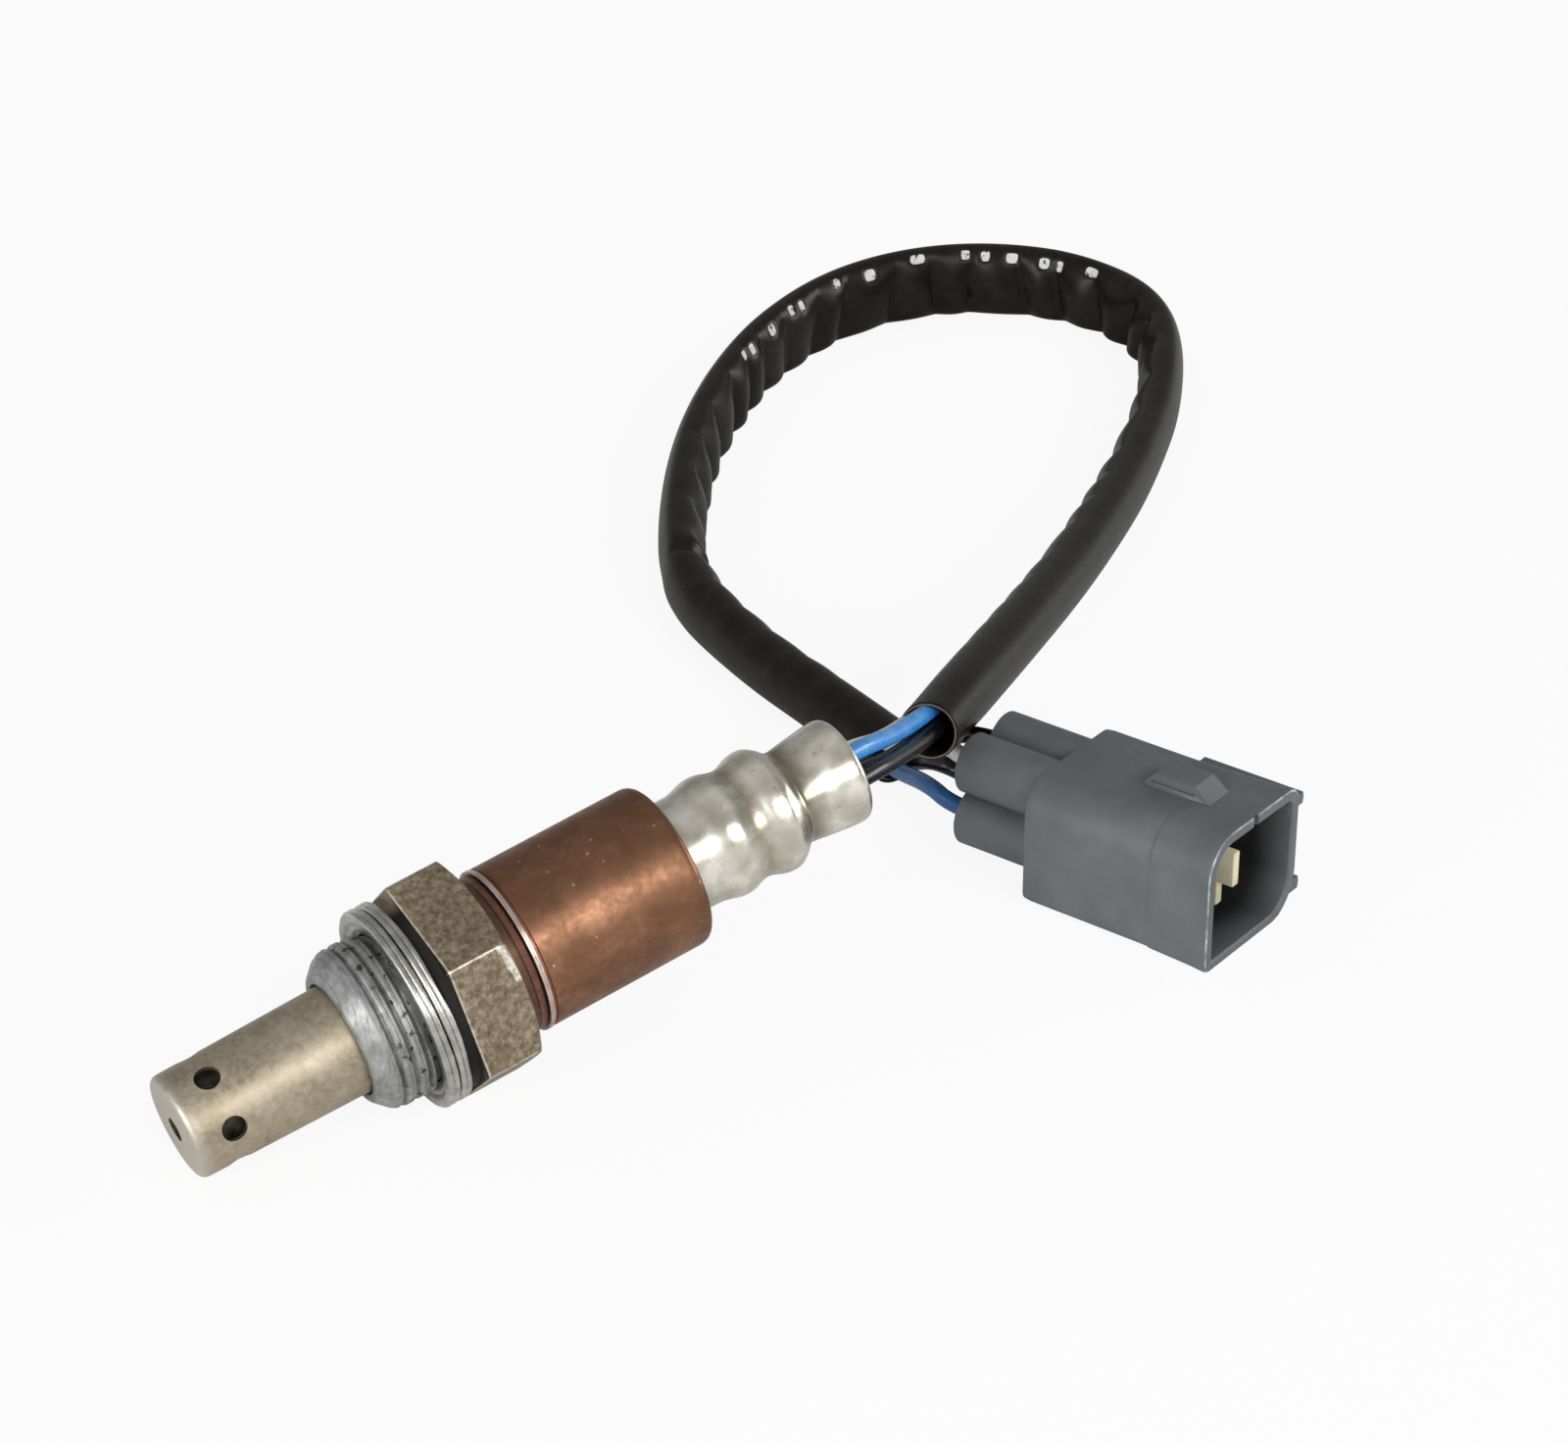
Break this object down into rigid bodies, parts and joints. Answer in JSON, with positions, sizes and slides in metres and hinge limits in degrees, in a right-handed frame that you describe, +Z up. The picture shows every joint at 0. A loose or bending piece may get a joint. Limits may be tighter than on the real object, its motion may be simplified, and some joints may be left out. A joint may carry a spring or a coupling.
{
  "type": "oxygen sensor",
  "caption": "Heated exhaust oxygen sensor with a threaded hexagon body, perforated tip, crimped tail tube and a sleeved pigtail looping back to a keyed male connector.",
  "frame": {"origin": "on the ground under the middle of the sensor's body, that is its box from the tip's front edge to the tail tube's rear lip, without the leads, sleeve and connector", "axes": "+Z up, +X level, from the tip towards the tail tube, +Y to the far side, where the sleeve makes its loop"},
  "size_m": [0.2037, 0.1701, 0.0296],
  "materials": {
    "protector_steel": "satin stainless, tinted warm by heat",
    "shell_steel": "plated, blotchy, worn bright on the edges",
    "gasket_steel": "bright rolled sheet",
    "zirconia": "matt sintered",
    "heater_ceramic": "matt sintered",
    "talc": "pressed powder",
    "cover_steel": "brown heat tint over satin stainless",
    "spring_steel": "formed sheet",
    "contact_alloy": "plated spring strip",
    "tail_steel": "polished stainless, slightly warm",
    "grommet_rubber": "matt",
    "lead_blue": "smooth insulation",
    "lead_white": "smooth insulation",
    "lead_black": "smooth insulation",
    "sleeve_vinyl": "soft vinyl, wrinkled on the inside of its bends",
    "housing_plastic": "fine moulded grain",
    "retainer_plastic": "plain moulded",
    "seal_rubber": "matt silicone",
    "pin_brass": "tin plated"
  },
  "bodies": {
    "root": {"connector_housing": "housing_plastic", "contact_heater_a": "contact_alloy", "contact_heater_b": "contact_alloy", "contact_signal_a": "contact_alloy", "contact_signal_b": "contact_alloy", "crimp_ring": "gasket_steel", "crush_gasket": "gasket_steel", "grommet": "grommet_rubber", "heater_rod": "heater_ceramic", "inner_protector": "protector_steel", "insulating_bush": "heater_ceramic", "lead_black_a": "lead_black", "lead_black_b": "lead_black", "lead_blue": "lead_blue", "lead_white": "lead_white", "metal_shell": "shell_steel", "outer_cover": "cover_steel", "outer_protector": "protector_steel", "pin_black_a": "pin_brass", "pin_black_b": "pin_brass", "pin_blue": "pin_brass", "pin_white": "pin_brass", "rear_insulator": "heater_ceramic", "seal_black_a": "seal_rubber", "seal_black_b": "seal_rubber", "seal_blue": "seal_rubber", "seal_white": "seal_rubber", "seat_ring": "gasket_steel", "sensing_element": "zirconia", "sleeve": "sleeve_vinyl", "spring_ring": "spring_steel", "tail_tube": "tail_steel", "talc_seal": "talc", "terminal_retainer": "retainer_plastic"}
  },
  "joints": []
}
